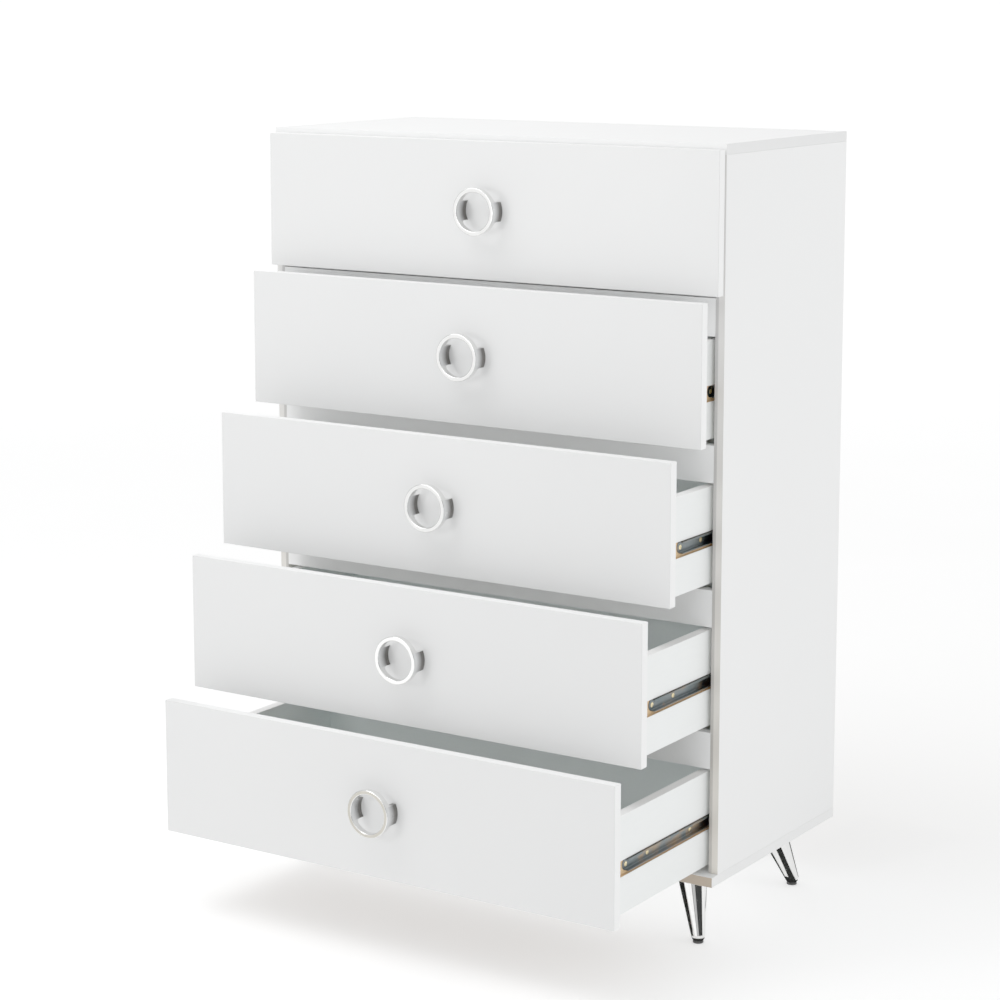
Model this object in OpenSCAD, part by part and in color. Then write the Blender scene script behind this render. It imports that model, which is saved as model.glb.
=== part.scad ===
/* [Cabinet] */
// Overall width of the cabinet across its side panels
body_w = 790; // [600:1:1000]
// Depth of the cabinet from its front plane to its back
body_d = 378; // [340:1:500]
// Overall height from the floor to the top surface
body_h = 1168; // [1100:1:1300]
// Thickness of the cabinet boards and the drawer boxes
board_t = 15; // [12:0.5:19]
// Height of one front rail between two openings
rail_h = 54; // [40:1:60]
// Thickness of the hardboard back and drawer bottoms
hardboard_t = 3; // [2.5:0.1:4]

/* [Drawer fronts] */
// Height of one drawer front
front_h = 204; // [190:0.5:210]
// Gap between two drawer fronts
front_gap = 5.25; // [3:0.25:8]
// Thickness of a drawer front
front_t = 16; // [15:0.5:19]
// Reveal of the top panel above the uppermost front
top_reveal = 8; // [5:0.5:15]
// How far each front stops short of the side of the cabinet
front_inset = 2; // [1:0.5:4]
// Gap behind a closed front
close_gap = 1; // [0.5:0.25:2]

/* [Drawer boxes] */
// Height of a drawer side
box_h = 141; // [120:1:150]
// Length of a drawer side
box_l = 365; // [350:1:366]
// Air between a drawer side and the cabinet side
side_gap = 6; // [5.5:0.25:7]
// Height of a drawer side's lower edge above its front's lower edge
box_lift = 5; // [4:0.5:8]

/* [Stored opening of each drawer] */
// Opening of the first drawer from the top
open_1 = 0; // [0:1:275]
// Opening of the second drawer
open_2 = 45; // [0:1:275]
// Opening of the third drawer
open_3 = 128; // [0:1:275]
// Opening of the fourth drawer
open_4 = 203; // [0:1:275]
// Opening of the lowest drawer
open_5 = 272; // [0:1:275]

/* [Ring handles] */
// Outer diameter of the ring
ring_d = 70; // [60:1:90]
// Radial wall of the ring
ring_wall = 6; // [4:0.5:8]
// Distance of the ring's face from the drawer front
ring_reach = 26; // [22:1:32]
// Depth of the ring itself, from its face to the slots
ring_band = 9.5; // [7:0.5:12]
// Height of each arm that carries the ring
arm_h = 28.6; // [20:0.2:34]

/* [Legs] */
// Height of the legs with their pads
leg_h = 100; // [80:1:130]
// Radius of a leg where it meets the bottom panel
leg_top_r = 23.8; // [14:0.2:25]
// Radius of the rounded end of a leg
leg_end_r = 10.5; // [7:0.5:12]
// Sideways and fore-and-aft splay of each leg
leg_splay = 26; // [10:1:35]
// Distance of the foot from the centre line
foot_x = 355; // [300:1:365]
// Distance of the front feet behind the cabinet's front plane
foot_front = 17; // [10:1:60]
// Distance of the rear feet behind the cabinet's front plane
foot_rear = 318; // [250:1:340]

/* [Drawer runners] */
// Height of the runner centre above the lower edge of its front
runner_z = 72; // [60:1:80]
// Height of the drawer channel
channel_h = 17; // [17:0.5:18]
// Depth of the routed groove in the drawer side
groove_d = 5; // [4.5:0.25:6]
// Sheet thickness of both runner sections
sheet_t = 1.2; // [1:0.1:1.2]
// Length of one ball cage
cage_l = 56; // [54:1:58]

/* [Hidden] */
$fn = 48;
travel = 275;
opens = [open_1, open_2, open_3, open_4, open_5];
// the part is centred on its length with the drawers as stored
reach = close_gap + front_t + max(opens) + ring_reach;
cf = (reach - body_d) / 2;
hw = body_w / 2;
in_hw = hw - board_t;
front_hw = hw - front_inset;
box_hw = in_hw - side_gap;
box_in = box_hw - board_t;
pitch = front_h + front_gap;
floor_z = leg_h + board_t;
lid_z = body_h - board_t;
handle_z = front_h / 2;
// the bottom sheet of a drawer runs in grooves
sheet_z = box_lift + 12;
sheet_in = 6;
rebate = 7;
// runner sections, measured outward from the floor of the drawer groove
web_x = box_hw - groove_d;
chan_out = 8.5;
race_z = channel_h / 2 - sheet_t;
rail_hh = 4.6;
rail_tip = web_x + 3.5;
ball_r = 1.05;
ball_x = web_x + 5.8;
ball_z = (race_z + rail_hh) / 2;
groove_y0 = 22;
// the drawer groove is cut a little low, so that its raw lower edge shows under the channel
groove_h = channel_h + 6.5;
groove_drop = 1.75;
chan_y0 = 43;
chan_y1 = box_l - 2;
rail_y0 = 28;
rail_y1 = 366;
chan_screws = [51, 110, 232, 345];
rail_screws = [44, 190, 350];
ring_r = ring_d / 2;
slot_d = ring_reach - ring_band;
slot_r = 6;
handle_hole_x = ring_r - ring_wall / 2;

WHITE = [0.93, 0.93, 0.92];
INSIDE = [0.90, 0.91, 0.91];
ZINC = [0.72, 0.74, 0.76];
GOLD = [0.80, 0.68, 0.36];
CHROME = [0.80, 0.81, 0.83];
PAD = [0.12, 0.12, 0.12];

function front_z(n) = body_h - top_reveal - n * front_h - (n - 1) * front_gap;

// a board given by its two opposite corners
module board(a, b) { translate(a) cube([b[0] - a[0], b[1] - a[1], b[2] - a[2]]); }

// a round bar or hole along X, from x0 to x1
module along_x(x0, x1, y, z, r) {
  translate([x0, y, z]) rotate([0, 90, 0]) cylinder(h = x1 - x0, r = r);
}

// a round bar or hole along Y, from y0 to y1
module along_y(y0, y1, x, z, r) {
  translate([x, y0, z]) rotate([-90, 0, 0]) cylinder(h = y1 - y0, r = r);
}

module both_sides() { children(); mirror([1, 0, 0]) children(); }

// drawer n: y = 0 is the cabinet's front plane when shut, z = 0 the front's lower edge
module in_drawer(n) { translate([0, cf - opens[n - 1], front_z(n)]) children(); }

// the ball cages of drawer n travel half as far as the drawer
module at_half(n) { translate([0, cf - opens[n - 1] / 2, front_z(n)]) children(); }

// ---- cabinet ----

// lid with a rebate along its rear edge for the back
module top_board() {
  translate([0, cf, 0]) difference() {
    board([-hw, 0, lid_z], [hw, body_d, body_h]);
    board([-in_hw - rebate, body_d - hardboard_t, lid_z - 1], [in_hw + rebate, body_d + 1, lid_z + rebate]);
  }
}

// floor board, which comes forward under the drawer fronts, drilled for the leg studs
module bottom_board() {
  translate([0, cf, 0]) difference() {
    board([-hw, -close_gap - front_t, leg_h], [hw, body_d, floor_z]);
    board([-in_hw - rebate, body_d - hardboard_t, floor_z - rebate],
      [in_hw + rebate, body_d + 1, floor_z + 1]);
    for (sx = [-1, 1], row = [[foot_front, 1], [foot_rear, -1]])
      leg_axis(sx, row[0], row[1]) translate([0, 0, stud_z0]) cylinder(h = stud_len + 0.6, r = 4.2);
  }
}

// right side panel, rebated for the back and drilled for the runner screws
module side_board() {
  translate([0, cf, 0]) difference() {
    board([in_hw, 0, floor_z], [hw, body_d, lid_z]);
    board([in_hw - 1, body_d - hardboard_t, floor_z - 1], [in_hw + rebate, body_d + 1, lid_z + 1]);
    for (n = [1:5], y = rail_screws) along_x(in_hw - 1, in_hw + 11, y, front_z(n) + runner_z, 1.9);
  }
}

// thin back, which sits in the rebates
module back_board() {
  translate([0, cf, 0])
    board([-in_hw - rebate + 0.2, body_d - hardboard_t, floor_z - rebate + 0.2],
      [in_hw + rebate - 0.2, body_d, lid_z + rebate - 0.2]);
}

// rail n, just behind the gap between fronts n and n + 1
module front_rail(n) {
  zt = front_z(n) - front_gap + 1.25;
  translate([0, cf, 0]) board([-in_hw, 0, zt - rail_h], [in_hw, board_t, zt]);
}

// ---- legs ----

leg_rise = leg_h - leg_end_r - 0.5;
leg_tilt = atan(leg_splay * sqrt(2) / leg_rise);
leg_len = leg_rise / cos(leg_tilt);
stud_z0 = leg_len - 8;
stud_len = 19;

// along a leg: the origin is the centre of its rounded end, Z runs up its length
module leg_axis(sx, y, dy) {
  translate([sx * foot_x, y, leg_end_r + 0.5])
    rotate([0, 0, atan2(dy, -sx)]) rotate([0, leg_tilt, 0]) children();
}

// tapered leg cut level at the top and at the pad, with a threaded stud in its head
module leg_at(sx, y, dy) {
  translate([0, cf, 0]) {
    intersection() {
      leg_axis(sx, y, dy) union() {
        sphere(r = leg_end_r);
        cylinder(h = leg_len + 12, r1 = leg_end_r, r2 = leg_top_r + 1.2);
      }
      translate([sx * foot_x - 80, y - 80, 3]) cube([160, 160, leg_h - 3]);
    }
    leg_axis(sx, y, dy) translate([0, 0, stud_z0]) cylinder(h = stud_len, r = 4);
  }
}

module pad_set() {
  translate([0, cf, 0]) for (sx = [-1, 1], y = [foot_front, foot_rear])
    translate([sx * foot_x, y, 0]) cylinder(h = 3, r = leg_end_r - 2.5);
}

// ---- runners ----

// narrow rail on the cabinet's right side, with its flanges towards the drawer
module cabinet_rail() {
  difference() {
    board([rail_tip, rail_y0, -rail_hh], [in_hw, rail_y1, rail_hh]);
    board([rail_tip - 1, rail_y0 - 1, -rail_hh + sheet_t], [in_hw - sheet_t, rail_y1 + 1, rail_hh - sheet_t]);
    for (y = rail_screws) along_x(in_hw - 3, in_hw + 1, y, 0, 2.1);
  }
}

// screw driven outward along X, with its head resting on a sheet whose face is at x
module pan_screw(x, y, len, head_r, head_h, r) {
  along_x(x - head_h - 0.02, x - 0.02, y, 0, head_r);
  along_x(x - 0.1, x + len, y, 0, r);
}

module runner_set() {
  translate([0, cf, 0]) both_sides() for (n = [1:5]) translate([0, 0, front_z(n) + runner_z]) {
    cabinet_rail();
    for (y = rail_screws) pan_screw(in_hw - sheet_t, y, 11, 3.1, 1.2, 1.85);
  }
}

// the outline of the groove and channel seen from the side, with a round front end
module round_end(x0, x1, y0, y1, h) {
  union() {
    along_x(x0, x1, y0 + h / 2, 0, h / 2);
    board([x0, y0 + h / 2, -h / 2], [x1, y1, h / 2]);
  }
}

// wide channel in the drawer side's groove, lipped to hold the balls
module drawer_channel() {
  translate([0, 0, runner_z]) difference() {
    intersection() {
      difference() {
        board([web_x, chan_y0, -channel_h / 2], [web_x + chan_out, chan_y1, channel_h / 2]);
        board([web_x + sheet_t, chan_y0 - 1, -race_z], [web_x + chan_out - sheet_t, chan_y1 + 1, race_z]);
        board([web_x + 2, chan_y0 - 1, -race_z + 1], [web_x + chan_out + 1, chan_y1 + 1, race_z - 1]);
      }
      round_end(web_x - 1, web_x + chan_out + 1, chan_y0, chan_y1 + 1, channel_h);
    }
    for (y = chan_screws) along_x(web_x - 1, web_x + sheet_t + 1, y, 0, 2.1);
  }
}

// thin cage with a row of balls above and below the cabinet rail
module ball_cage() {
  // at full travel the cage sits in the middle of the overlap of the two sections
  cy = (rail_y0 + chan_y1 - travel) / 2 + travel / 2;
  translate([0, 0, runner_z]) {
    difference() {
      board([web_x + 2.2, cy - cage_l / 2, -ball_z - 0.45], [ball_x + 1.2, cy + cage_l / 2, ball_z + 0.45]);
      board([web_x + 2.9, cy - cage_l, -ball_z + 0.45], [ball_x + 3, cy + cage_l, ball_z - 0.45]);
      for (k = [-2.5:1:2.5]) translate([ball_x, cy + k * 9, -12]) cylinder(h = 24, r = ball_r + 0.1);
    }
    for (k = [-2.5:1:2.5], s = [-1, 1])
      translate([ball_x, cy + k * 9, s * ball_z]) sphere(r = ball_r, $fn = 24);
  }
}

// ---- drawers ----

// full-overlay front with a groove for the bottom and two handle holes
module front_slab() {
  difference() {
    board([-front_hw, -close_gap - front_t, 0], [front_hw, -close_gap, front_h]);
    board([-box_in - sheet_in, -close_gap - sheet_in, sheet_z],
      [box_in + sheet_in, 0, sheet_z + hardboard_t + 0.2]);
    for (s = [-1, 1]) along_y(-close_gap - front_t - 1, 0, s * handle_hole_x, handle_z, 2.2);
  }
}

// right side of a drawer box, grooved inside for the bottom and outside for the channel
module box_side() {
  difference() {
    board([box_in, -close_gap, box_lift], [box_hw, -close_gap + box_l, box_lift + box_h]);
    board([box_in - 1, -close_gap - 1, sheet_z], [box_in + sheet_in, box_l + 1, sheet_z + hardboard_t + 0.2]);
    translate([0, 0, runner_z]) {
      translate([0, 0, -groove_drop]) round_end(web_x, box_hw + 1, groove_y0, box_l + 1, groove_h);
      for (y = chan_screws) along_x(web_x - 9, web_x + 1, y, 0, 1.9);
    }
  }
}

module box_back() {
  board([-box_in, -close_gap + box_l - board_t, sheet_z + hardboard_t + 0.2],
    [box_in, -close_gap + box_l, box_lift + box_h]);
}

// hardboard bottom, held in the grooves and passing under the back
module box_bottom() {
  board([-box_in - sheet_in + 0.2, -close_gap - sheet_in + 0.2, sheet_z + 0.1],
    [box_in + sheet_in - 0.2, -close_gap + box_l - 0.2, sheet_z + hardboard_t + 0.1]);
}

// cast ring on two arms: slots with round inner corners leave the arms left and right
module ring_handle() {
  translate([0, -close_gap - front_t, handle_z]) difference() {
    rotate([90, 0, 0]) rotate_extrude($fn = 96) {
      translate([ring_r - ring_wall, 0]) square([ring_wall, ring_reach - 1]);
      translate([ring_r - ring_wall + 1, 0]) square([ring_wall - 2, ring_reach]);
      for (r = [ring_r - ring_wall + 1, ring_r - 1]) translate([r, ring_reach - 1]) circle(r = 1);
    }
    for (s = [0, 1]) mirror([0, 0, s]) {
      board([-ring_r - 1, -slot_d + slot_r, arm_h / 2], [ring_r + 1, 1, ring_r + 1]);
      board([-ring_r - 1, -slot_d, arm_h / 2 + slot_r], [ring_r + 1, 1, ring_r + 1]);
      along_x(-ring_r - 1, ring_r + 1, -slot_d + slot_r, arm_h / 2 + slot_r, slot_r);
    }
    for (s = [-1, 1]) along_y(-9, 1, s * handle_hole_x, 0, 2.05);
  }
}

// countersunk channel screws and the two machine screws that hold the handle
module drawer_screws() {
  translate([0, 0, runner_z]) both_sides() for (y = chan_screws)
    translate([web_x + sheet_t, y, 0]) mirror([1, 0, 0]) pan_screw(0, 0, 9, 3.4, 0.6, 1.85);
  for (s = [-1, 1]) {
    along_y(-close_gap - front_t - 8, -close_gap + 0.01, s * handle_hole_x, handle_z, 2);
    along_y(-close_gap, -close_gap + 2.4, s * handle_hole_x, handle_z, 4);
  }
}

module top_panel() { color(WHITE) top_board(); }
module bottom_panel() { color(WHITE) bottom_board(); }
module left_side_panel() { color(WHITE) mirror([1, 0, 0]) side_board(); }
module right_side_panel() { color(WHITE) side_board(); }
module back_panel() { color(WHITE) back_board(); }
module front_rail_1() { color(WHITE) front_rail(1); }
module front_rail_2() { color(WHITE) front_rail(2); }
module front_rail_3() { color(WHITE) front_rail(3); }
module front_rail_4() { color(WHITE) front_rail(4); }
module cabinet_runners() { color(ZINC) runner_set(); }
module front_left_leg() { color(CHROME) leg_at(-1, foot_front, 1); }
module front_right_leg() { color(CHROME) leg_at(1, foot_front, 1); }
module rear_left_leg() { color(CHROME) leg_at(-1, foot_rear, -1); }
module rear_right_leg() { color(CHROME) leg_at(1, foot_rear, -1); }
module foot_pads() { color(PAD) pad_set(); }
module drawer_1_front() { color(WHITE) in_drawer(1) front_slab(); }
module drawer_1_left_side() { color(WHITE) in_drawer(1) mirror([1, 0, 0]) box_side(); }
module drawer_1_right_side() { color(WHITE) in_drawer(1) box_side(); }
module drawer_1_back() { color(INSIDE) in_drawer(1) box_back(); }
module drawer_1_bottom() { color(INSIDE) in_drawer(1) box_bottom(); }
module drawer_1_handle() { color(CHROME) in_drawer(1) ring_handle(); }
module drawer_1_channels() { color(ZINC) in_drawer(1) both_sides() drawer_channel(); }
module drawer_1_screws() { color(GOLD) in_drawer(1) drawer_screws(); }
module drawer_1_ball_cages() { color(GOLD) at_half(1) both_sides() ball_cage(); }
module drawer_2_front() { color(WHITE) in_drawer(2) front_slab(); }
module drawer_2_left_side() { color(WHITE) in_drawer(2) mirror([1, 0, 0]) box_side(); }
module drawer_2_right_side() { color(WHITE) in_drawer(2) box_side(); }
module drawer_2_back() { color(INSIDE) in_drawer(2) box_back(); }
module drawer_2_bottom() { color(INSIDE) in_drawer(2) box_bottom(); }
module drawer_2_handle() { color(CHROME) in_drawer(2) ring_handle(); }
module drawer_2_channels() { color(ZINC) in_drawer(2) both_sides() drawer_channel(); }
module drawer_2_screws() { color(GOLD) in_drawer(2) drawer_screws(); }
module drawer_2_ball_cages() { color(GOLD) at_half(2) both_sides() ball_cage(); }
module drawer_3_front() { color(WHITE) in_drawer(3) front_slab(); }
module drawer_3_left_side() { color(WHITE) in_drawer(3) mirror([1, 0, 0]) box_side(); }
module drawer_3_right_side() { color(WHITE) in_drawer(3) box_side(); }
module drawer_3_back() { color(INSIDE) in_drawer(3) box_back(); }
module drawer_3_bottom() { color(INSIDE) in_drawer(3) box_bottom(); }
module drawer_3_handle() { color(CHROME) in_drawer(3) ring_handle(); }
module drawer_3_channels() { color(ZINC) in_drawer(3) both_sides() drawer_channel(); }
module drawer_3_screws() { color(GOLD) in_drawer(3) drawer_screws(); }
module drawer_3_ball_cages() { color(GOLD) at_half(3) both_sides() ball_cage(); }
module drawer_4_front() { color(WHITE) in_drawer(4) front_slab(); }
module drawer_4_left_side() { color(WHITE) in_drawer(4) mirror([1, 0, 0]) box_side(); }
module drawer_4_right_side() { color(WHITE) in_drawer(4) box_side(); }
module drawer_4_back() { color(INSIDE) in_drawer(4) box_back(); }
module drawer_4_bottom() { color(INSIDE) in_drawer(4) box_bottom(); }
module drawer_4_handle() { color(CHROME) in_drawer(4) ring_handle(); }
module drawer_4_channels() { color(ZINC) in_drawer(4) both_sides() drawer_channel(); }
module drawer_4_screws() { color(GOLD) in_drawer(4) drawer_screws(); }
module drawer_4_ball_cages() { color(GOLD) at_half(4) both_sides() ball_cage(); }
module drawer_5_front() { color(WHITE) in_drawer(5) front_slab(); }
module drawer_5_left_side() { color(WHITE) in_drawer(5) mirror([1, 0, 0]) box_side(); }
module drawer_5_right_side() { color(WHITE) in_drawer(5) box_side(); }
module drawer_5_back() { color(INSIDE) in_drawer(5) box_back(); }
module drawer_5_bottom() { color(INSIDE) in_drawer(5) box_bottom(); }
module drawer_5_handle() { color(CHROME) in_drawer(5) ring_handle(); }
module drawer_5_channels() { color(ZINC) in_drawer(5) both_sides() drawer_channel(); }
module drawer_5_screws() { color(GOLD) in_drawer(5) drawer_screws(); }
module drawer_5_ball_cages() { color(GOLD) at_half(5) both_sides() ball_cage(); }

top_panel();
bottom_panel();
left_side_panel();
right_side_panel();
back_panel();
front_rail_1();
front_rail_2();
front_rail_3();
front_rail_4();
cabinet_runners();
front_left_leg();
front_right_leg();
rear_left_leg();
rear_right_leg();
foot_pads();
drawer_1_front();
drawer_1_left_side();
drawer_1_right_side();
drawer_1_back();
drawer_1_bottom();
drawer_1_handle();
drawer_1_channels();
drawer_1_screws();
drawer_1_ball_cages();
drawer_2_front();
drawer_2_left_side();
drawer_2_right_side();
drawer_2_back();
drawer_2_bottom();
drawer_2_handle();
drawer_2_channels();
drawer_2_screws();
drawer_2_ball_cages();
drawer_3_front();
drawer_3_left_side();
drawer_3_right_side();
drawer_3_back();
drawer_3_bottom();
drawer_3_handle();
drawer_3_channels();
drawer_3_screws();
drawer_3_ball_cages();
drawer_4_front();
drawer_4_left_side();
drawer_4_right_side();
drawer_4_back();
drawer_4_bottom();
drawer_4_handle();
drawer_4_channels();
drawer_4_screws();
drawer_4_ball_cages();
drawer_5_front();
drawer_5_left_side();
drawer_5_right_side();
drawer_5_back();
drawer_5_bottom();
drawer_5_handle();
drawer_5_channels();
drawer_5_screws();
drawer_5_ball_cages();
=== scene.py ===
"""Tall white chest of drawers on chrome legs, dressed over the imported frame."""

import math

import bmesh
import bpy
from mathutils import Matrix, Vector


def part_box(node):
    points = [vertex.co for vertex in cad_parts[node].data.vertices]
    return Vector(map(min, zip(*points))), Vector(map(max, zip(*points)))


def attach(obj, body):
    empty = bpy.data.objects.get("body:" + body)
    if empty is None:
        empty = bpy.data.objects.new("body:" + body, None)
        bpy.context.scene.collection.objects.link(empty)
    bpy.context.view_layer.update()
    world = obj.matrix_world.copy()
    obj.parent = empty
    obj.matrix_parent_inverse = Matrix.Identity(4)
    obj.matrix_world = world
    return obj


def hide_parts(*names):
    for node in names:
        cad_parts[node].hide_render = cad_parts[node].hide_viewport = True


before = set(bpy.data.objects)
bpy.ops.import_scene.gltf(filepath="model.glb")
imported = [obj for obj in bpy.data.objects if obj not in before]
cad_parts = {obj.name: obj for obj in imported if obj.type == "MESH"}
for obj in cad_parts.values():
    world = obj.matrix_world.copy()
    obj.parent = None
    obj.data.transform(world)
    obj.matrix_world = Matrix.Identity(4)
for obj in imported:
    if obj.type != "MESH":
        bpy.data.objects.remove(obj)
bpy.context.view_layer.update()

MM = 0.001
LEVELS = (1, 2, 3, 4, 5)


# ---------------------------------------------------------------- finishes

# painted shade and highlights of the finishes, as tints multiplied into the whites or laid over them
# painted cool shade of the drawers' insides, on the sides' inner faces and all over the backs
INSIDE_SHADE_TINT = (0.965, 1.02, 1.022)
# painted highlight on the upper edges of the drawer sides
TOP_EDGE_HIGHLIGHT = (0.97, 0.97, 0.965)
# painted shade on the carcass's front edges: greyer higher up and darker on their inner part
UPPER_EDGE_SHADE_GREY = (0.66, 0.66, 0.67)
INNER_EDGE_SHADE_TINT = (0.62, 0.62, 0.63)
# painted shade on the inner faces of the cabinet's sides
INNER_FACE_SHADE_TINT = (0.62, 0.60, 0.55)
# painted shade on the front edges: beige-grey on the sides', brown on the bottom's
SIDES_EDGE_SHADE = (0.66, 0.62, 0.55)
BASE_EDGE_SHADE = (0.33, 0.255, 0.18)
# darker tone of the drawer fronts' faces, as painted shade; their edges keep a brighter white as painted
# highlight
FRONT_FACE_SHADE_TONE = 0.80

BLACK = (0.0, 0.0, 0.0)
FULL_WHITE = (1.0, 1.0, 1.0)


def toned(tone, colour):
    """The colour, lighter or darker by a factor."""
    return tuple(tone * c for c in colour)


def ramp_node(tree, fac, stops):
    """Colour ramp of (position, colour) stops in a node tree."""
    node = tree.nodes.new("ShaderNodeValToRGB")
    bar = node.color_ramp
    while len(bar.elements) < len(stops):
        bar.elements.new(0.5)
    for mark, (at, colour) in zip(bar.elements, stops):
        mark.position = at
        mark.color = (*colour, 1.0)
    tree.links.new(fac, node.inputs["Fac"])
    return node.outputs["Color"]


class Finish:
    """A material under construction, with the node calls that the finishes share."""

    def __init__(self, name):
        self.mat = bpy.data.materials.new(name)
        self.mat.use_nodes = True
        self.tree = self.mat.node_tree
        self.bsdf = self.tree.nodes["Principled BSDF"]
        self.place = self.tree.nodes.new("ShaderNodeTexCoord").outputs["Object"]

    def set(self, **values):
        for key, value in values.items():
            self.bsdf.inputs[key.replace("_", " ").title().replace("Ior", "IOR")].default_value = value

    def join(self, a, b):
        self.tree.links.new(a, b)

    def stretched(self, stretch, shift=(0, 0, 0)):
        node = self.tree.nodes.new("ShaderNodeMapping")
        node.inputs["Scale"].default_value = stretch
        node.inputs["Location"].default_value = shift
        self.join(self.place, node.inputs["Vector"])
        return node.outputs["Vector"]

    def noise(self, scale, detail=2.0, roughness=0.5, stretch=(1, 1, 1), shift=(0, 0, 0),
              distortion=0.0):
        node = self.tree.nodes.new("ShaderNodeTexNoise")
        node.inputs["Scale"].default_value = scale
        node.inputs["Detail"].default_value = detail
        node.inputs["Roughness"].default_value = roughness
        node.inputs["Distortion"].default_value = distortion
        self.join(self.stretched(stretch, shift), node.inputs["Vector"])
        return node.outputs["Fac"]

    def spots(self, scale, stretch=(1, 1, 1)):
        node = self.tree.nodes.new("ShaderNodeTexVoronoi")
        node.inputs["Scale"].default_value = scale
        self.join(self.stretched(stretch), node.inputs["Vector"])
        return node.outputs["Distance"]

    def ramp(self, fac, stops):
        return ramp_node(self.tree, fac, stops)

    def span(self, fac, a, b, low=0.3, high=0.7):
        """Runs from a to b as fac runs from low to high."""
        node = self.tree.nodes.new("ShaderNodeMapRange")
        node.inputs["From Min"].default_value = low
        node.inputs["From Max"].default_value = high
        node.inputs["To Min"].default_value = a
        node.inputs["To Max"].default_value = b
        self.join(fac, node.inputs["Value"])
        return node.outputs["Result"]

    def maths(self, operation, a, b=0.0):
        node = self.tree.nodes.new("ShaderNodeMath")
        node.operation = operation
        for slot, value in zip(node.inputs, (a, b)):
            if isinstance(value, (int, float)):
                slot.default_value = value
            else:
                self.join(value, slot)
        return node.outputs["Value"]

    def mix(self, fac, a, b, blend="MIX"):
        node = self.tree.nodes.new("ShaderNodeMix")
        node.data_type = "RGBA"
        node.blend_type = blend
        for key, value in (("Factor", fac), ("A", a), ("B", b)):
            slot = node.inputs[key]
            if isinstance(value, (int, float)):
                slot.default_value = value
            elif isinstance(value, tuple):
                slot.default_value = (*value, 1.0)
            else:
                self.join(value, slot)
        return node.outputs["Result"]

    def times(self, a, b):
        """One colour multiplied by another."""
        return self.mix(1.0, a, b, "MULTIPLY")

    def axis(self, letter):
        node = self.tree.nodes.new("ShaderNodeSeparateXYZ")
        self.join(self.place, node.inputs["Vector"])
        return node.outputs[letter]

    def off_middle(self):
        """Distance from the chest's middle plane."""
        return self.maths("ABSOLUTE", self.axis("X"))

    def between(self, value, low, high):
        """1 where low < value < high, else 0."""
        above = self.maths("GREATER_THAN", value, low)
        below = self.maths("LESS_THAN", value, high)
        return self.maths("MULTIPLY", above, below)

    def bump(self, height, strength, distance):
        node = self.tree.nodes.new("ShaderNodeBump")
        node.inputs["Strength"].default_value = strength
        node.inputs["Distance"].default_value = distance
        self.join(height, node.inputs["Height"])
        self.join(node.outputs["Normal"], self.bsdf.inputs["Normal"])

    def colour(self, socket):
        self.join(socket, self.bsdf.inputs["Base Color"])

    def rough(self, socket):
        self.join(socket, self.bsdf.inputs["Roughness"])


def sprayed(f, tone, shift):
    """Slow cloudy flow of the spray gun in a white of the given tone."""
    flow = f.noise(2.4, 2.0, 0.45, shift=(shift, 0.3, 0.1))
    return f.ramp(flow, [(0.05, toned(tone, (0.806, 0.812, 0.814))),
                         (0.50, toned(tone, (0.824, 0.829, 0.829))),
                         (0.95, toned(tone, (0.842, 0.845, 0.843)))])


def lacquer_white(name, tone=1.0, rough=(0.30, 0.34), shift=0.0, edge=None, face=None, shine=0.45):
    """Sprayed satin lacquer, which may carry painted shade on its front edges and inner faces, or a darker
    face as painted shade.

    edge = (y of the front edge, its painted-shade tint, x of the inner face); face = (y of the face, its
    darker painted-shade tone).
    """
    f = Finish(name)
    white = sprayed(f, tone, shift)
    if face:
        # the face gets a darker white, as painted shade
        face_y, face_tone = face
        in_face = f.maths("LESS_THAN", f.axis("Y"), face_y + 0.6 * MM)
        white = f.mix(in_face, white, sprayed(f, face_tone, shift + 1.0))
    grain = f.span(f.noise(420.0, 3.0, 0.6), 0.985, 1.015)
    if edge:
        # the front edges carry painted shade: a streaked tint, greyer higher up and darker towards the
        # inside
        edge_y, tint, inner_x = edge
        streaks = f.noise(90.0, 3.0, 0.6, stretch=(1.0, 1.0, 0.05))
        shaded_edge = f.ramp(streaks, [(0.3, toned(0.93, tint)), (0.7, tint)])
        height = f.span(f.axis("Z"), 0.0, 1.0, 0.15, 0.95)
        shaded_edge = f.mix(height, shaded_edge, f.mix(0.7, shaded_edge, UPPER_EDGE_SHADE_GREY))
        inner = f.maths("LESS_THAN", f.off_middle(), inner_x)
        shaded_edge = f.mix(inner, shaded_edge, f.times(shaded_edge, INNER_EDGE_SHADE_TINT))
        white = f.mix(f.maths("LESS_THAN", f.axis("Y"), edge_y + 0.2 * MM), white, shaded_edge)
        # painted shade darkens the side panels' inner faces
        inner_face_shade = f.maths("LESS_THAN", f.off_middle(), inner_x - 4.8 * MM)
        white = f.mix(inner_face_shade, white, f.times(white, INNER_FACE_SHADE_TINT))
    f.colour(f.times(white, f.ramp(grain, [(0.0, (0.97, 0.97, 0.97)), (1.0, FULL_WHITE)])))
    f.rough(f.span(f.noise(5.0, 3.0, 0.5, shift=(0, shift, 0)), *rough, 0.05, 0.95))
    f.bump(f.noise(650.0, 2.0, 0.45), 0.08, 0.00010)
    f.set(specular_ior_level=shine)
    return f.mat


def foil_white(f, tone=1.0):
    """White foil of the drawer boxes: flatter than lacquer, with a fine printed grain along Y."""
    grain = f.noise(240.0, 4.0, 0.6, stretch=(1.0, 0.12, 1.0))
    return f.ramp(grain, [(0.25, toned(tone, (0.868, 0.895, 0.889))),
                          (0.75, toned(tone, (0.890, 0.918, 0.912)))])


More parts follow.
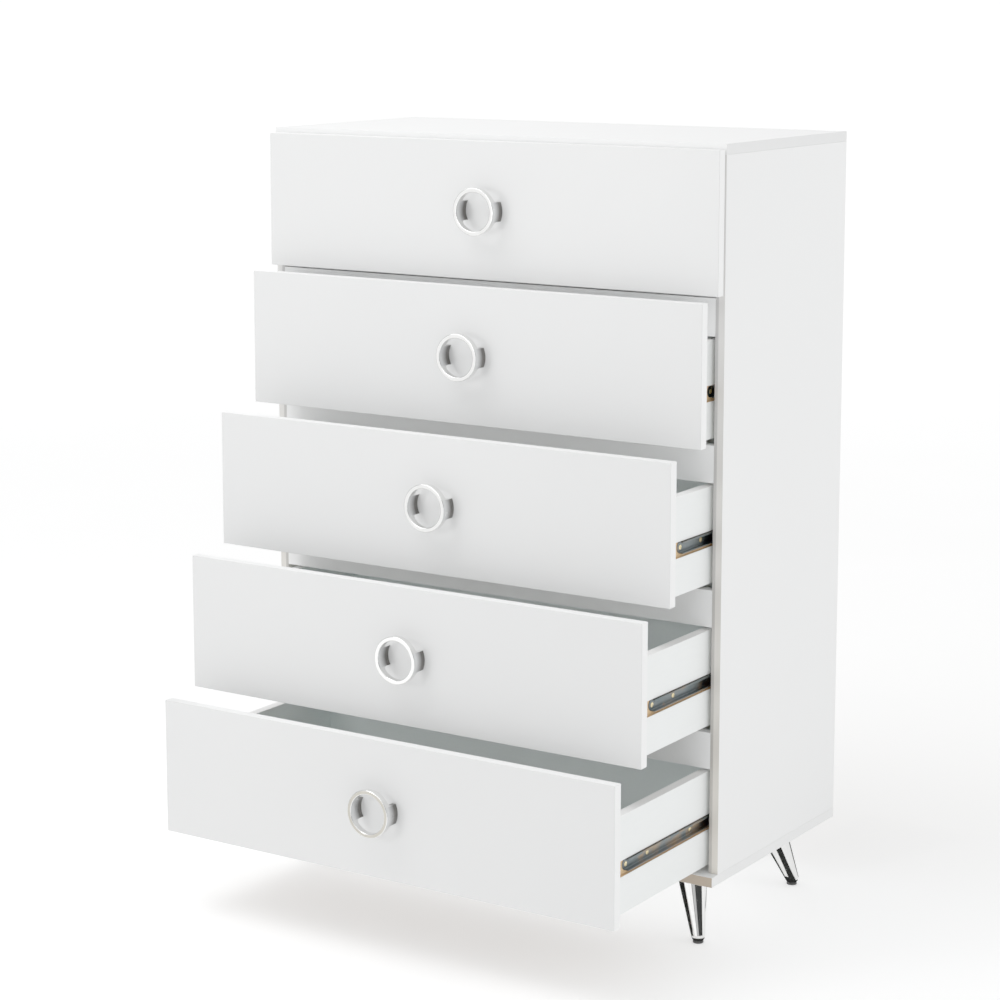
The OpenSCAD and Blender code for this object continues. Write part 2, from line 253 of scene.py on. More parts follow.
def fibre_tan(f):
    """Cut fibreboard: short pale and dark fibres in glue-brown."""
    fibres = f.noise(900.0, 4.0, 0.7, stretch=(1.0, 0.45, 1.0))
    clumps = f.noise(140.0, 3.0, 0.6)
    base = f.ramp(fibres, [(0.28, (0.50, 0.29, 0.12)), (0.5, (0.72, 0.46, 0.21)),
                           (0.72, (0.86, 0.62, 0.34))])
    shade = f.ramp(clumps, [(0.3, (0.86, 0.84, 0.82)), (0.7, FULL_WHITE)])
    return f.times(base, shade)


def drawer_board(name, groove=None, top=None):
    """Drawer box board. A side's raw routed groove shows, its upper edge, at height top, carries a painted
    highlight, and its inner face a painted cool shade.

    groove = (lowest z, highest z, x of the side's outer face); a back has neither, and takes the painted
    cool shade all over.
    """
    f = Finish(name)
    skin = foil_white(f)
    if groove:
        low, high, face = groove
        out = f.off_middle()
        # the side's inner face gets the painted cool shade
        inside = f.maths("LESS_THAN", out, face - 14.7 * MM)
        skin = f.mix(inside, skin, f.times(skin, INSIDE_SHADE_TINT))
        # painted highlight along the side's upper edge
        skin = f.mix(f.maths("GREATER_THAN", f.axis("Z"), top - 0.3 * MM), skin, TOP_EDGE_HIGHLIGHT)
        deep = f.between(out, face - 5.4 * MM, face - 0.12 * MM)
        cut = f.maths("MULTIPLY", f.between(f.axis("Z"), low, high), deep)
        skin = f.mix(cut, skin, fibre_tan(f))
        smooth = f.span(f.noise(30.0, 4.0), 0.40, 0.50)
        f.rough(f.maths("ADD", smooth, f.maths("MULTIPLY", cut, 0.40)))
    else:
        # a back gets the painted cool shade all over
        skin = f.times(skin, INSIDE_SHADE_TINT)
        f.rough(f.span(f.noise(30.0, 4.0), 0.40, 0.50))
    f.colour(skin)
    f.bump(f.noise(500.0, 3.0, 0.6, stretch=(1.0, 0.25, 1.0)), 0.12, 0.0001)
    return f.mat


def hardboard(name, letter, limit, above):
    """Thin hardboard: white, but bare brown above or below the limit along one axis."""
    f = Finish(name)
    skin = foil_white(f, 0.97)
    weave = f.spots(620.0)
    flecks = f.noise(260.0, 5.0, 0.7)
    brown = f.ramp(flecks, [(0.30, (0.120, 0.090, 0.066)), (0.52, (0.185, 0.142, 0.106)),
                            (0.75, (0.265, 0.210, 0.160))])
    mesh_mark = f.ramp(weave, [(0.0, (0.100, 0.074, 0.054)), (0.6, (0.300, 0.240, 0.185))])
    brown = f.mix(0.35, brown, mesh_mark)
    side = f.maths("GREATER_THAN" if above else "LESS_THAN", f.axis(letter), limit)
    f.colour(f.mix(side, skin, brown))
    f.rough(f.maths("ADD", f.span(flecks, 0.40, 0.48), f.maths("MULTIPLY", side, 0.25)))
    f.bump(weave, 0.18, 0.0002)
    return f.mat


def zinc_sheet(name):
    """Dark zinc-plated strip steel, drawn along Y, with a blue-to-straw passivation."""
    f = Finish(name)
    drawn = f.noise(260.0, 5.0, 0.65, stretch=(4.0, 0.06, 4.0))
    cloud = f.noise(24.0, 3.0, 0.6, distortion=0.6)
    tint = f.ramp(cloud, [(0.25, (0.045, 0.075, 0.085)), (0.50, (0.10, 0.12, 0.125)),
                          (0.70, (0.26, 0.17, 0.09))])
    f.colour(f.times(tint, f.ramp(drawn, [(0.2, (0.84, 0.84, 0.84)), (0.8, FULL_WHITE)])))
    f.rough(f.span(drawn, 0.24, 0.42, 0.25, 0.75))
    f.bump(drawn, 0.10, 0.00005)
    f.set(metallic=1.0)
    return f.mat


def zinc_yellow(name):
    """Yellow-passivated zinc of screws and ball cages, with faint rainbow clouds."""
    f = Finish(name)
    cloud = f.noise(190.0, 3.0, 0.6, distortion=1.2)
    tint = f.ramp(cloud, [(0.20, (0.62, 0.50, 0.30)), (0.45, (0.83, 0.66, 0.30)),
                          (0.62, (0.88, 0.74, 0.40)), (0.85, (0.66, 0.62, 0.46))])
    f.colour(tint)
    f.rough(f.span(f.noise(700.0, 3.0), 0.22, 0.36))
    f.set(metallic=1.0)
    return f.mat


def chrome_plate(name):
    """Polished chrome: nearly a mirror, with the faint haze of handling."""
    f = Finish(name)
    haze = f.noise(70.0, 5.0, 0.65, distortion=0.4)
    f.colour(f.ramp(haze, [(0.30, (0.74, 0.74, 0.73)), (0.70, (0.82, 0.82, 0.81))]))
    f.rough(f.span(haze, 0.035, 0.085))
    f.set(metallic=1.0)
    return f.mat


def chrome_arm_painted_shade(name, ring_y, panel_y):
    """Satin chrome of the ring pull's arms, with painted shade that darkens them towards the panel, for
    the shadowed panel they reflect there.
    """
    f = Finish(name)
    haze = f.noise(70.0, 5.0, 0.65, distortion=0.4)
    bright = f.ramp(haze, [(0.30, (0.70, 0.71, 0.72)), (0.70, (0.78, 0.79, 0.80))])
    dark = f.ramp(haze, [(0.30, (0.085, 0.080, 0.075)), (0.70, (0.13, 0.122, 0.115))])
    depth = f.span(f.axis("Y"), 0.0, 1.0, ring_y, panel_y)
    f.colour(f.mix(f.ramp(depth, [(0.20, BLACK), (0.72, FULL_WHITE)]), bright, dark))
    f.rough(f.span(haze, 0.18, 0.28))
    f.set(metallic=1.0)
    return f.mat


def dark_rubber(name):
    """Dark moulded rubber of the foot pads."""
    f = Finish(name)
    specks = f.noise(800.0, 4.0, 0.7)
    f.colour(f.ramp(specks, [(0.3, (0.018, 0.018, 0.019)), (0.7, (0.045, 0.044, 0.043))]))
    f.rough(f.span(specks, 0.62, 0.80))
    f.bump(specks, 0.25, 0.0001)
    return f.mat


# the top's white is set darker than the sides' (0.91 against 1.05), as painted shade against the stronger
# light on the top
WHITE = lacquer_white("white_lacquer", 0.91)
WHITE_RAIL = lacquer_white("white_lacquer_rails", 1.0, (0.34, 0.38), 5.0)
BOX_WHITE = drawer_board("drawer_board_white")
ZINC = zinc_sheet("zinc_strip")
YELLOW = zinc_yellow("yellow_zinc")
CHROME = chrome_plate("chrome_plate")
RUBBER = dark_rubber("dark_rubber")


# ---------------------------------------------------------------- making pieces

def made_from(bm, name, mat):
    """Turns a finished bmesh into an object in the scene, in one material."""
    mesh = bpy.data.meshes.new(name)
    bm.to_mesh(mesh)
    bm.free()
    mesh.materials.append(mat)
    thing = bpy.data.objects.new(name, mesh)
    bpy.context.collection.objects.link(thing)
    return thing


def settle(bm, name, mat, body, stands_for=(), sharp=32.0):
    """Turns a finished bmesh into a smooth piece that rides on a body."""
    piece = made_from(bm, name, mat)
    for face in piece.data.polygons:
        face.use_smooth = True
    piece.data.set_sharp_from_angle(angle=math.radians(sharp))
    even = piece.modifiers.new("even_normals", "WEIGHTED_NORMAL")
    even.keep_sharp = True
    even.weight = 60
    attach(piece, body)
    if stands_for:
        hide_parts(*stands_for)
    return piece


def soften(bm, edges, radius):
    """Rounds the given edges over."""
    bmesh.ops.bevel(bm, geom=edges, offset=radius, offset_type="OFFSET", affect="EDGES", segments=3,
                    profile=0.5, material=-1, clamp_overlap=True)


def eased_board(node, body, mat, ease):
    """The board as cut, with its outer arrises eased by a small radius."""
    bm = bmesh.new()
    bm.from_mesh(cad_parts[node].data)
    bmesh.ops.remove_doubles(bm, verts=bm.verts, dist=1e-6)
    bmesh.ops.dissolve_limit(bm, angle_limit=math.radians(0.4), verts=bm.verts, edges=bm.edges)
    low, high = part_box(node)

    def outer(edge):
        met = 0
        for k in range(3):
            for side in (low[k], high[k]):
                met += all(abs(v.co[k] - side) < 2e-5 for v in edge.verts)
        return met >= 2

    soften(bm, [e for e in bm.edges if outer(e)], ease)
    return settle(bm, node + "_eased", mat, body, (node,), 20.0)


STRIP_STEPS = 8


def bent_strip(bm, path, y0, y1, z, mirror, round_r=0.0):
    """Strip steel folded to a path of (x, z) points and run along Y, with an optional rounded near end."""
    before = set(bm.verts)
    chain = [bm.verts.new((x, y0, h)) for x, h in path]
    row = [bm.edges.new(pair) for pair in zip(chain, chain[1:])]
    for step in range(1, STRIP_STEPS + 1):
        out = bmesh.ops.extrude_edge_only(bm, edges=row)["geom"]
        for v in (g for g in out if isinstance(g, bmesh.types.BMVert)):
            v.co.y = y0 + (y1 - y0) * step / STRIP_STEPS
        row = [g for g in out if isinstance(g, bmesh.types.BMEdge)]
    if round_r:
        for v in chain:
            up = min(abs(v.co.z), round_r)
            v.co.y = y0 + round_r - math.sqrt(max(0.0, round_r ** 2 - up ** 2))
    for v in (v for v in bm.verts if v not in before):
        v.co.z += z
        if mirror:
            v.co.x = -v.co.x


def give_gauge(piece):
    """Thickens bent strip to its gauge, before its normals are evened."""
    gauge = piece.modifiers.new("gauge", "SOLIDIFY")
    gauge.thickness, gauge.offset = GAUGE - 0.05 * MM, 0.0
    piece.modifiers.move(1, 0)


def arc(cx, cz, r, a0, a1, steps):
    """Points round part of a bend, angles in degrees from +X towards +Z."""
    turns = [math.radians(a0 + (a1 - a0) * k / steps) for k in range(steps + 1)]
    return [(cx + r * math.cos(a), cz + r * math.sin(a)) for a in turns]


def both_halves(web, upper):
    """Whole section of a strip from its upper half, mirrored about the middle."""
    half = web + upper
    return [(x, -z) for x, z in reversed(half[1:])] + half


def channel_path(web_x, half, depth, gauge):
    """Middle line of the wide drawer channel: web, two ball races and two lips."""
    w, top, r, lip_r = web_x + gauge / 2, half - gauge / 2, 1.4 * MM, 0.9 * MM
    edge = web_x + depth - gauge / 2
    upper = arc(w + r, top - r, r, 180, 90, 5)
    upper += [(w + 3.2 * MM, top), (w + 4.7 * MM, top)]
    upper += arc(edge - lip_r, top - lip_r, lip_r, 90, 0, 4) + [(edge, top - 1.15 * MM)]
    return both_halves([(w, (top - r) * k / 6) for k in range(6)], upper)


def rail_path(tip_x, back_x, half, gauge):
    """Middle line of the narrow cabinet rail: web on the cabinet side and two races."""
    w, top, r = back_x - gauge / 2, half - gauge / 2, 1.0 * MM
    mid = (w + tip_x) / 2
    upper = arc(w - r, top - r, r, 0, 90, 4)
    upper += [(mid + 0.8 * MM, top), (mid - 0.8 * MM, top - 0.25 * MM), (tip_x, top)]
    return both_halves([(w, (top - r) * k / 4) for k in range(4)], upper)


RECESS_TAPER = 0.78


def cross_head(bm, place, r, h):
    """Round screw head with a cross recess, its seat at the origin of place and its axis along +Z."""
    before_v, before_f = set(bm.verts), set(bm.faces)
    bmesh.ops.create_grid(bm, x_segments=5, y_segments=5, size=1.0)
    marks = (-1.0, -0.55, -0.16, 0.16, 0.55, 1.0)
    for v in (v for v in bm.verts if v not in before_v):
        i, j = (min(5, max(0, round((c + 1.0) * 2.5))) for c in (v.co.x, v.co.y))
        x, y = marks[i], marks[j]
        if i in (0, 5) or j in (0, 5):
            x, y = (c / math.hypot(x, y) for c in (x, y))
        v.co = (x * r, y * r, h * (1.0 - 0.35 * (x * x + y * y)))
    faces = [f for f in bm.faces if f not in before_f]
    arms = [f for f in faces if max(map(abs, f.calc_center_median()[:2])) < 0.5 * r
            and min(map(abs, f.calc_center_median()[:2])) < 0.12 * r]
    skirt = [e for f in faces for e in f.edges if e.is_boundary]
    sunk = bmesh.ops.extrude_face_region(bm, geom=arms)
    bmesh.ops.delete(bm, geom=arms, context="FACES_ONLY")
    for v in (g for g in sunk["geom"] if isinstance(g, bmesh.types.BMVert)):
        v.co.x *= RECESS_TAPER
        v.co.y *= RECESS_TAPER
        v.co.z -= 0.75 * h
    wall = bmesh.ops.extrude_edge_only(bm, edges=list(set(skirt)))["geom"]
    for v in (g for g in wall if isinstance(g, bmesh.types.BMVert)):
        v.co.z = 0.0
    bmesh.ops.contextual_create(bm, geom=[g for g in wall if isinstance(g, bmesh.types.BMEdge)])
    made = [v for v in bm.verts if v not in before_v]
    bmesh.ops.transform(bm, matrix=place, verts=made)


def plain_shank(bm, place, r, length):
    """Screw shank below the head's seat, a little thinner at its tip."""
    made = bmesh.ops.create_cone(bm, cap_ends=True, segments=16, radius1=r * 0.8, radius2=r,
                                 depth=length)
    seated = place @ Matrix.Translation((0, 0, -length / 2))
    bmesh.ops.transform(bm, matrix=seated, verts=made["verts"])


def refinish(node, mat):
    """Shows a node as packed, in one new material."""
    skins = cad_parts[node].data.materials
    skins.clear()
    skins.append(mat)


def facing(point, direction):
    """Matrix that stands a piece at point with its Z along direction."""
    turn = Vector((0, 0, 1)).rotation_difference(Vector(direction)).to_matrix().to_4x4()
    return Matrix.Translation(point) @ turn


# ---------------------------------------------------------------- cabinet

panel_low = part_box("right_side_panel")[0]
base_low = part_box("bottom_panel")[0]
# the sides' and the bottom's front edges carry painted shade
WHITE_SIDES = lacquer_white("white_lacquer_sides", 1.05, shift=7.0,
                            edge=(panel_low.y, SIDES_EDGE_SHADE, panel_low.x + 5 * MM))
WHITE_BASE = lacquer_white("white_lacquer_base", shift=9.0, edge=(base_low.y, BASE_EDGE_SHADE, 0.0))
eased_board("top_panel", "cabinet", WHITE, 0.7 * MM)
eased_board("bottom_panel", "cabinet", WHITE_BASE, 0.7 * MM)
for side in ("left", "right"):
    eased_board(side + "_side_panel", "cabinet", WHITE_SIDES, 0.7 * MM)
for k in range(1, 5):
    eased_board("front_rail_%d" % k, "cabinet", WHITE_RAIL, 0.4 * MM)

back_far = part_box("back_panel")[1].y
refinish("back_panel", hardboard("hardboard_back", "Y", back_far - 0.4 * MM, True))

# runners: their lengths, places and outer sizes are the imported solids' own
chan_low, chan_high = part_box("drawer_1_channels")
run_low, run_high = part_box("cabinet_runners")
BOX_OUT_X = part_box("drawer_1_right_side")[1].x
GAUGE = 1.2 * MM
CHAN_HALF = (chan_high.z - chan_low.z) / 2
CHAN_DEEP = 8.5 * MM
WEB_X = chan_high.x - CHAN_DEEP
INNER_X = panel_low.x
RUN_TIP = WEB_X + 3.5 * MM
RUN_HALF = 4.6 * MM
# screw places back from each strip's near end
RAIL_SCREWS = (16 * MM, 162 * MM, 322 * MM)
CHANNEL_SCREWS = (8 * MM, 67 * MM, 189 * MM, 302 * MM)


def level(n):
    """Height of drawer n's runner centre."""
    low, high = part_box("drawer_%d_channels" % n)
    return (low.z + high.z) / 2


strips = bmesh.new()
for n in LEVELS:
    for mirror in (False, True):
        bent_strip(strips, rail_path(RUN_TIP + 0.1 * MM, INNER_X, RUN_HALF, GAUGE),
                   run_low.y, run_high.y, level(n), mirror)
bmesh.ops.recalc_face_normals(strips, faces=strips.faces)
give_gauge(settle(strips, "cabinet_runner_strips", ZINC, "cabinet", ("cabinet_runners",)))

heads = bmesh.new()
for n in LEVELS:
    for side in (-1, 1):
        for along in RAIL_SCREWS:
            spot = (side * (INNER_X - GAUGE - 0.02 * MM), run_low.y + along, level(n))
            cross_head(heads, facing(spot, (-side, 0, 0)), 3.1 * MM, 1.15 * MM)
bmesh.ops.recalc_face_normals(heads, faces=heads.faces)
settle(heads, "cabinet_runner_screw_heads", YELLOW, "cabinet")

# legs: turned taper with a ball end, leaned outward, cut level under the board and over the pad
pad_low, pad_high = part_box("foot_pads")
PAD_R = 8.0 * MM
BALL_R = 10.5 * MM
LEG_TOP_R = 25.0 * MM
SPLAY = 26.0 * MM
BALL_LIFT = 0.5 * MM
foot_x = pad_high.x - PAD_R
front_foot_y, rear_foot_y = pad_low.y + PAD_R, pad_high.y - PAD_R
rise = base_low.z - BALL_R - BALL_LIFT
axis_len = math.sqrt(rise ** 2 + 2 * SPLAY ** 2)
taper_len = axis_len + 12 * MM


def turned_leg(name, x, y, dx, dy):
    """Leg over the foot at (x, y), leaning by SPLAY towards (dx, dy) at its top."""
    bm = bmesh.new()
    profile = [(0.0, -BALL_R)]
    slope = math.atan((LEG_TOP_R - BALL_R) / taper_len)
    for k in range(1, 13):
        a = math.radians(-90) + (math.radians(90) - slope) * k / 12
        profile.append((BALL_R * math.cos(a), BALL_R * math.sin(a)))
    end = axis_len + 11.9 * MM
    for k in range(1, 11):
        t = end * k / 10
        profile.append((BALL_R + (LEG_TOP_R - BALL_R) * t / taper_len, t))
    chain = [bm.verts.new((r, 0, z)) for r, z in profile]
    edges = [bm.edges.new(pair) for pair in zip(chain, chain[1:])]
    bmesh.ops.spin(bm, geom=chain + edges, cent=(0, 0, 0), axis=(0, 0, 1), dvec=(0, 0, 0),
                   angle=math.tau, steps=96, use_merge=True)
    bmesh.ops.remove_doubles(bm, verts=bm.verts, dist=1e-6)
    lean = Vector((dx * SPLAY, dy * SPLAY, rise))
    bmesh.ops.transform(bm, matrix=facing((x, y, BALL_R + BALL_LIFT), lean), verts=bm.verts)
    for height, keep_below in ((base_low.z, True), (pad_high.z, False)):
        whole = list(bm.verts) + list(bm.edges) + list(bm.faces)
        cut = bmesh.ops.bisect_plane(bm, geom=whole, plane_co=(0, 0, height), plane_no=(0, 0, 1),
                                     clear_outer=keep_below, clear_inner=not keep_below)
        ring = [g for g in cut["geom_cut"] if isinstance(g, bmesh.types.BMEdge)]
        bmesh.ops.contextual_create(bm, geom=ring)
    bmesh.ops.recalc_face_normals(bm, faces=bm.faces)
    return settle(bm, name + "_turned", CHROME, "cabinet", (name,), 40.0)


for row, y, dy in (("front", front_foot_y, 1), ("rear", rear_foot_y, -1)):
    for side, sx in (("left", -1), ("right", 1)):
        turned_leg("%s_%s_leg" % (row, side), sx * foot_x, y, -sx, dy)

pads = bmesh.new()
for x in (pad_low.x + PAD_R, foot_x):
    for y in (front_foot_y, rear_foot_y):
        disc = bmesh.ops.create_cone(pads, cap_ends=True, segments=48, radius1=PAD_R, radius2=PAD_R,
                                     depth=pad_high.z)
        bmesh.ops.translate(pads, vec=(x, y, pad_high.z / 2), verts=disc["verts"])
soften(pads, [e for e in pads.edges if abs(e.verts[0].co.z - e.verts[1].co.z) < 1e-7], 0.6 * MM)
settle(pads, "foot_pads_moulded", RUBBER, "cabinet", ("foot_pads",))


# ---------------------------------------------------------------- drawers

ARM_HALF = 14.3 * MM
# handle screws, either side of the ring's middle
HANDLE_SCREW_X = 32 * MM
# groove's edges below and above the runner's centre
GROOVE_LOW, GROOVE_HIGH = 13.52 * MM, 10.02 * MM


def ring_pull(n, body):
    """Cast ring on two arms, as cut, with its arrises softened as a polished casting's are."""
    node = "drawer_%d_handle" % n
    low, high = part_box(node)
    bm = bmesh.new()
    bm.from_mesh(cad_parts[node].data)
    bmesh.ops.remove_doubles(bm, verts=bm.verts, dist=2e-6)
    bmesh.ops.dissolve_limit(bm, angle_limit=math.radians(0.3), verts=bm.verts, edges=bm.edges)
    middle_z = (low.z + high.z) / 2

    def crisp(edge):
        if not edge.is_manifold or edge.calc_face_angle() < math.radians(40):
            return False
        out = [math.hypot(abs(v.co.x) - HANDLE_SCREW_X, v.co.z - middle_z) for v in edge.verts]
        return max(out) >= 2.4 * MM

    soften(bm, [e for e in bm.edges if crisp(e)], 0.5 * MM)
    # faces of the arms behind the ring take the chrome with painted shade towards the panel
    for face in bm.faces:
        at = face.calc_center_median()
        if at.y > low.y + 0.6 * MM and abs(at.z - middle_z) < ARM_HALF:
            face.material_index = 1
    piece = settle(bm, "drawer_%d_ring_pull" % n, CHROME, body, (node,), 34.0)
    panel_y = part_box("drawer_%d_front" % n)[0].y
    piece.data.materials.append(chrome_arm_painted_shade("drawer_%d_chrome_arm" % n, low.y, panel_y))


def wide_channels(n, body):
    """The pair of channels let into the drawer's sides, round at their near ends."""
    node = "drawer_%d_channels" % n
    low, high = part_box(node)
    path = channel_path(WEB_X, CHAN_HALF, CHAN_DEEP, GAUGE)
    bm = bmesh.new()
    for mirror in (False, True):
        bent_strip(bm, path, low.y, high.y, level(n), mirror, CHAN_HALF)
    bmesh.ops.recalc_face_normals(bm, faces=bm.faces)
    give_gauge(settle(bm, "drawer_%d_channel_strips" % n, ZINC, body, (node,)))


def drawer_screws(n, body):
    """The channels' screws on both sides, and the two that hold the ring pull from inside."""
    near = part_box("drawer_%d_channels" % n)[0].y
    panel_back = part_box("drawer_%d_front" % n)[1].y
    handle_low, handle_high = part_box("drawer_%d_handle" % n)
    handle_z = (handle_low.z + handle_high.z) / 2
    bm = bmesh.new()
    for side in (-1, 1):
        for along in CHANNEL_SCREWS:
            place = facing((side * (WEB_X + GAUGE), near + along, level(n)), (side, 0, 0))
            cross_head(bm, place, 3.4 * MM, 0.6 * MM)
            plain_shank(bm, place, 1.8 * MM, 8.5 * MM)
        place = facing((side * HANDLE_SCREW_X, panel_back, handle_z), (0, 1, 0))
        cross_head(bm, place, 4.0 * MM, 2.3 * MM)
        plain_shank(bm, place, 1.9 * MM, 20 * MM)
    bmesh.ops.recalc_face_normals(bm, faces=bm.faces)
    settle(bm, "drawer_%d_cross_screws" % n, YELLOW, body,
           ("drawer_%d_screws" % n,), 30.0)


for n in LEVELS:
    body = "drawer_%d" % n
    tag = body + "_"
    mid = level(n)
    groove = (mid - GROOVE_LOW, mid + GROOVE_HIGH, BOX_OUT_X)
    grooved = drawer_board(tag + "grooved_board", groove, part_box(tag + "right_side")[1].z)
    # drawer fronts: a brighter white (1.12) on the edges as painted highlight, a darker face as painted
    # shade
    painted = lacquer_white(tag + "lacquer", 1.12, (0.30, 0.36), 2.0 + n,
                            face=(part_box(tag + "front")[0].y, FRONT_FACE_SHADE_TONE), shine=0.30)
    eased_board(tag + "front", body, painted, 1.0 * MM)
    eased_board(tag + "left_side", body, grooved, 0.5 * MM)
    eased_board(tag + "right_side", body, grooved, 0.5 * MM)
    eased_board(tag + "back", body, BOX_WHITE, 0.5 * MM)
    sheet_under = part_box(tag + "bottom")[0].z
    refinish(tag + "bottom", hardboard(tag + "hardboard", "Z", sheet_under + 0.4 * MM, False))
    ring_pull(n, body)
    wide_channels(n, body)
    drawer_screws(n, body)
    refinish(tag + "ball_cages", YELLOW)


# ---------------------------------------------------------------- floor, light and camera

AIR = 0.55
FLOOR_GLOW = 0.30
FAR_GLOW = 0.50
SCREEN_GAIN = 1.15
# (bearing, grey) round the chest, in degrees anticlockwise from -X:
# front is 90, right is 180, back is 270
SCREENS = ((0, 0.10), (38, 0.10), (44, 1.0), (100, 1.0), (104, 0.08), (107, 0.08),
           (111, 0.38), (130, 0.30), (136, 0.02), (166, 0.02), (172, 0.10), (192, 0.14),
           (200, 0.95), (325, 0.95), (338, 0.10), (360, 0.10))


def studio_floor():
    """Plain pale floor, lit from within as a light table is, more so away from the chest."""
    bm = bmesh.new()
    bmesh.ops.create_grid(bm, x_segments=8, y_segments=8, size=400.0)
    f = Finish("pale_floor")
    f.colour(f.ramp(f.noise(1.6, 3.0), [(0.3, (0.93, 0.93, 0.93)), (0.7, (0.95, 0.95, 0.95))]))
    f.rough(f.span(f.noise(3.0, 2.0), 0.75, 0.85))
    across, along = (f.maths("POWER", f.axis(letter), 2.0) for letter in "XY")
    away = f.span(f.maths("SQRT", f.maths("ADD", across, along)), 0.0, 1.0, 0.9, 6.0)
    lit = f.ramp(away, [(0.0, (FLOOR_GLOW,) * 3), (1.0, (FAR_GLOW,) * 3)])
    f.join(lit, f.bsdf.inputs["Emission Color"])
    f.set(specular_ior_level=0.1, emission_strength=1.0)
    made_from(bm, "studio_floor", f.mat)


def softbox(name, radiance, centre, target, wide, high):
    """Rectangular diffuser of an even radiance, which the camera itself doesn't see."""
    data = bpy.data.lights.new(name, "AREA")
    data.shape, data.size, data.size_y = "RECTANGLE", wide, high
    data.energy = radiance * math.pi * wide * high
    lamp = bpy.data.objects.new(name, data)
    bpy.context.collection.objects.link(lamp)
    lamp.location = centre
    lamp.rotation_mode = "QUATERNION"
    lamp.rotation_quaternion = (Vector(target) - Vector(centre)).to_track_quat("-Z", "Y")
    lamp.visible_camera = False


CARD_BLACK = (0.014, 0.014, 0.014)
# beige of the shadowed floor, for painted reflection in the lowest ring
SHADED_FLOOR_BEIGE = (0.66, 0.62, 0.54)


def flag(name, corners, tone=CARD_BLACK):
    """Card that only glossy surfaces see: standing, as a studio puts up to draw the edges of chrome; lying
    on the floor, a painted reflection of shadowed floor.
    """
    bm = bmesh.new()
    bm.faces.new([bm.verts.new(c) for c in corners])
    f = Finish(name)
    f.colour(f.ramp(f.noise(4.0), [(0.3, toned(0.8, tone)), (0.7, toned(1.1, tone))]))
    f.rough(f.span(f.noise(9.0), 0.8, 0.95))
    f.set(specular_ior_level=0.0)
    card = made_from(bm, name, f.mat)
    card.visible_camera = card.visible_diffuse = False
    card.visible_shadow = card.visible_transmission = False


def floor_shade_card(name, height, corners, tone=CARD_BLACK):
    """Card lying just over the floor, at one height: painted reflection of shadowed floor."""
    flag(name, [(x, y, height) for x, y in corners], tone)


def studio_air():
    """Even surround for the paint, pale screens with dark gaps for metal, plain white behind it all."""
    world = bpy.data.worlds.new("studio")
    bpy.context.scene.world = world
    world.use_nodes = True
    tree = world.node_tree
    even = tree.nodes["Background"]
    even.inputs["Color"].default_value = (0.992, 1.0, 0.998, 1.0)
    even.inputs["Strength"].default_value = AIR
    where = tree.nodes.new("ShaderNodeTexCoord")
    turn = tree.nodes.new("ShaderNodeTexGradient")
    turn.gradient_type = "RADIAL"
    tree.links.new(where.outputs["Generated"], turn.inputs["Vector"])
    marks = [(bearing / 360, (grey,) * 3) for bearing, grey in SCREENS]
    screens = ramp_node(tree, turn.outputs["Fac"], marks)
    split = tree.nodes.new("ShaderNodeSeparateXYZ")
    tree.links.new(where.outputs["Generated"], split.inputs["Vector"])
    height = ramp_node(tree, split.outputs["Z"], [(0.30, BLACK), (0.62, FULL_WHITE)])
    both = tree.nodes.new("ShaderNodeMix")
    both.data_type = "RGBA"
    tree.links.new(height, both.inputs["Factor"])
    tree.links.new(screens, both.inputs["A"])
    both.inputs["B"].default_value = (0.95, 0.96, 0.97, 1.0)
    shown = tree.nodes.new("ShaderNodeBackground")
    tree.links.new(both.outputs["Result"], shown.inputs["Color"])
    shown.inputs["Strength"].default_value = SCREEN_GAIN
    kind = tree.nodes.new("ShaderNodeLightPath")
    air = tree.nodes.new("ShaderNodeMixShader")
    tree.links.new(kind.outputs["Is Glossy Ray"], air.inputs["Fac"])
    tree.links.new(even.outputs["Background"], air.inputs[1])
    tree.links.new(shown.outputs["Background"], air.inputs[2])
    open_white = tree.nodes.new("ShaderNodeBackground")
    open_white.inputs["Color"].default_value = (1.0, 1.0, 1.0, 1.0)
    seen = tree.nodes.new("ShaderNodeMixShader")
    tree.links.new(kind.outputs["Is Camera Ray"], seen.inputs["Fac"])
    tree.links.new(air.outputs["Shader"], seen.inputs[1])
    tree.links.new(open_white.outputs["Background"], seen.inputs[2])
    tree.links.new(seen.outputs["Shader"], tree.nodes["World Output"].inputs["Surface"])


studio_floor()
studio_air()
# cards that polished metal sees: black ones under the chest, round the legs and under the two right feet,
# and a beige one in front for the lowest ring, all painted reflection of shadowed floor; and two black
# ones standing at the sides
floor_shade_card("reflected_shade_under_chest", 2 * MM, [(-0.36, -0.08), (0.25, -0.08), (0.25, 0.30), (-0.36, 0.30)])
floor_shade_card("flag_front_leg", 2 * MM, [(0.25, -0.06), (0.325, -0.06), (0.325, 0.04), (0.25, 0.07)])
floor_shade_card("flag_rear_leg", 1 * MM, [(0.345, 0.17), (0.475, 0.17), (0.39, 0.285), (0.355, 0.285)])
floor_shade_card("reflected_shade_front_leg_side", 1 * MM, [(0.335, -0.012), (0.28, -0.10), (0.16, -0.21), (-0.05, -0.38),
                                         (-0.30, -0.20), (-0.10, 0.10), (0.25, 0.05)])
floor_shade_card("reflected_shade_rear_edge", 1 * MM, [(0.16, 0.24), (0.275, 0.242), (0.312, 0.259), (0.341, 0.275),
                                    (0.345, 0.30), (0.25, 0.37), (0.16, 0.37)])
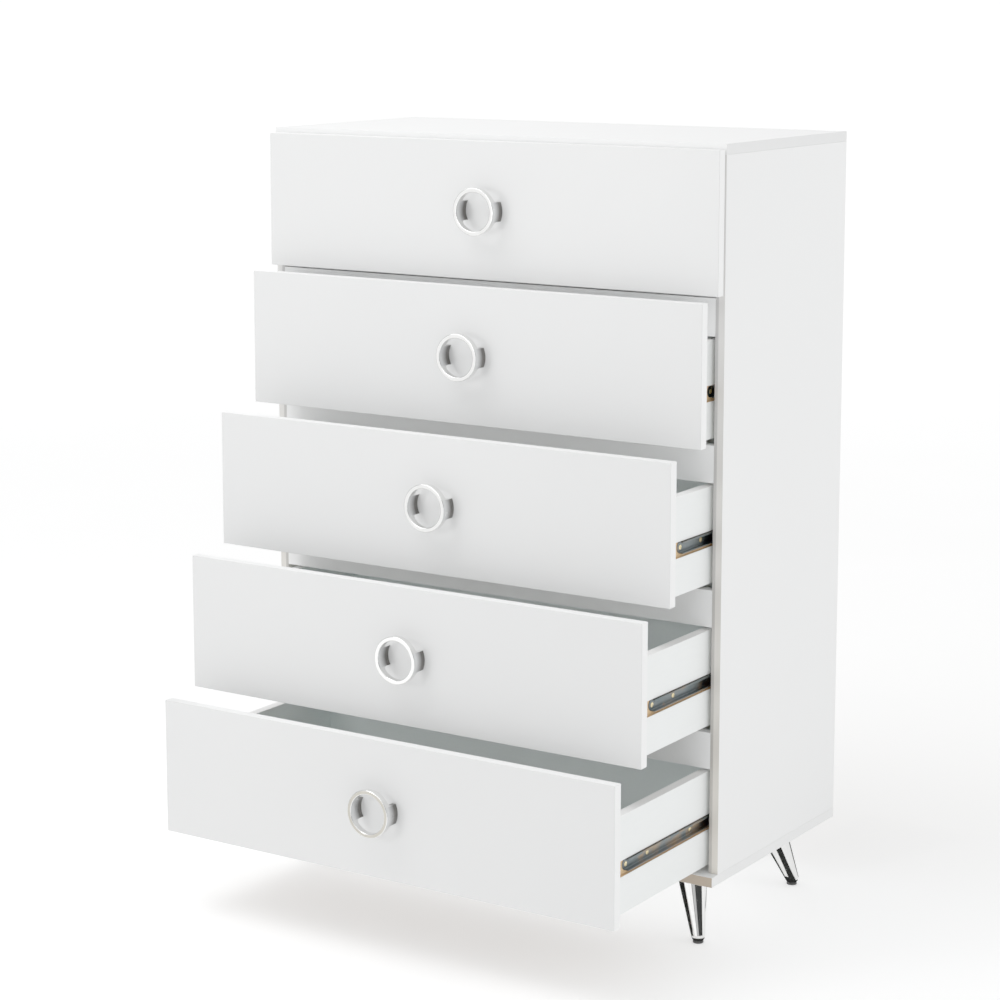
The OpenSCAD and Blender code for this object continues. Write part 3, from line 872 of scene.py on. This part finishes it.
floor_shade_card("flag_behind_leg", 1 * MM, [(0.30, 0.33), (0.372, 0.32), (0.395, 0.37), (0.45, 0.49),
                                     (0.51, 0.66), (0.30, 0.66)])
FOOT_CARD_R = 22 * MM
# dark rings round the two right feet: painted contact shadow in the reflections of the ball ends
for name, y in (("reflected_shade_front_foot", front_foot_y), ("reflected_shade_rear_foot", rear_foot_y)):
    turns = [k * math.tau / 12 for k in range(12)]
    floor_shade_card(name, 0.5 * MM, [(foot_x + FOOT_CARD_R * math.cos(a), y + FOOT_CARD_R * math.sin(a))
                              for a in turns])
floor_shade_card("reflected_shade_beige", 1 * MM, [(-0.75, -1.25), (-0.20, -1.25), (-0.20, -0.75), (-0.75, -0.75)],
         SHADED_FLOOR_BEIGE)
CARD_AWAY, CARD_TOP = 1.3, 1.7
for name, bearings in (("flag_right", (52, 100)), ("flag_left", (-52, -120))):
    ends = [(CARD_AWAY * math.sin(math.radians(a)), -CARD_AWAY * math.cos(math.radians(a)))
            for a in bearings]
    flag(name, [(*ends[0], 0.0), (*ends[1], 0.0), (*ends[1], CARD_TOP), (*ends[0], CARD_TOP)])
softbox("front_softbox", 6.2, (-0.95, -2.3, 1.0), (0.0, -0.1, 0.65), 0.5, 0.68)
softbox("top_softbox", 2.8, (-0.9, -0.9, 2.8), (0.0, -0.2, 0.6), 2.2, 1.6)
softbox("right_softbox", 0.30, (2.6, 0.6, 1.3), (0.3, 0.1, 0.7), 1.6, 2.0)

lens = bpy.data.cameras.new("studio_camera")
lens.lens, lens.sensor_width = 94.4, 36.0
lens.shift_y = -0.11
lens.clip_start, lens.clip_end = 0.05, 1000.0
camera = bpy.data.objects.new("studio_camera", lens)
bpy.context.collection.objects.link(camera)
camera.location = (2.1209, -3.2449, 1.3874)
CAMERA_DOWN, CAMERA_ROUND = 8.818, 33.181
camera.rotation_euler = (math.radians(90 - CAMERA_DOWN), 0.0, math.radians(CAMERA_ROUND))
bpy.context.scene.camera = camera
bpy.context.scene.view_settings.view_transform = "Standard"
bpy.context.scene.view_settings.gamma = 1.7
bpy.context.scene.cycles.diffuse_bounces = 12
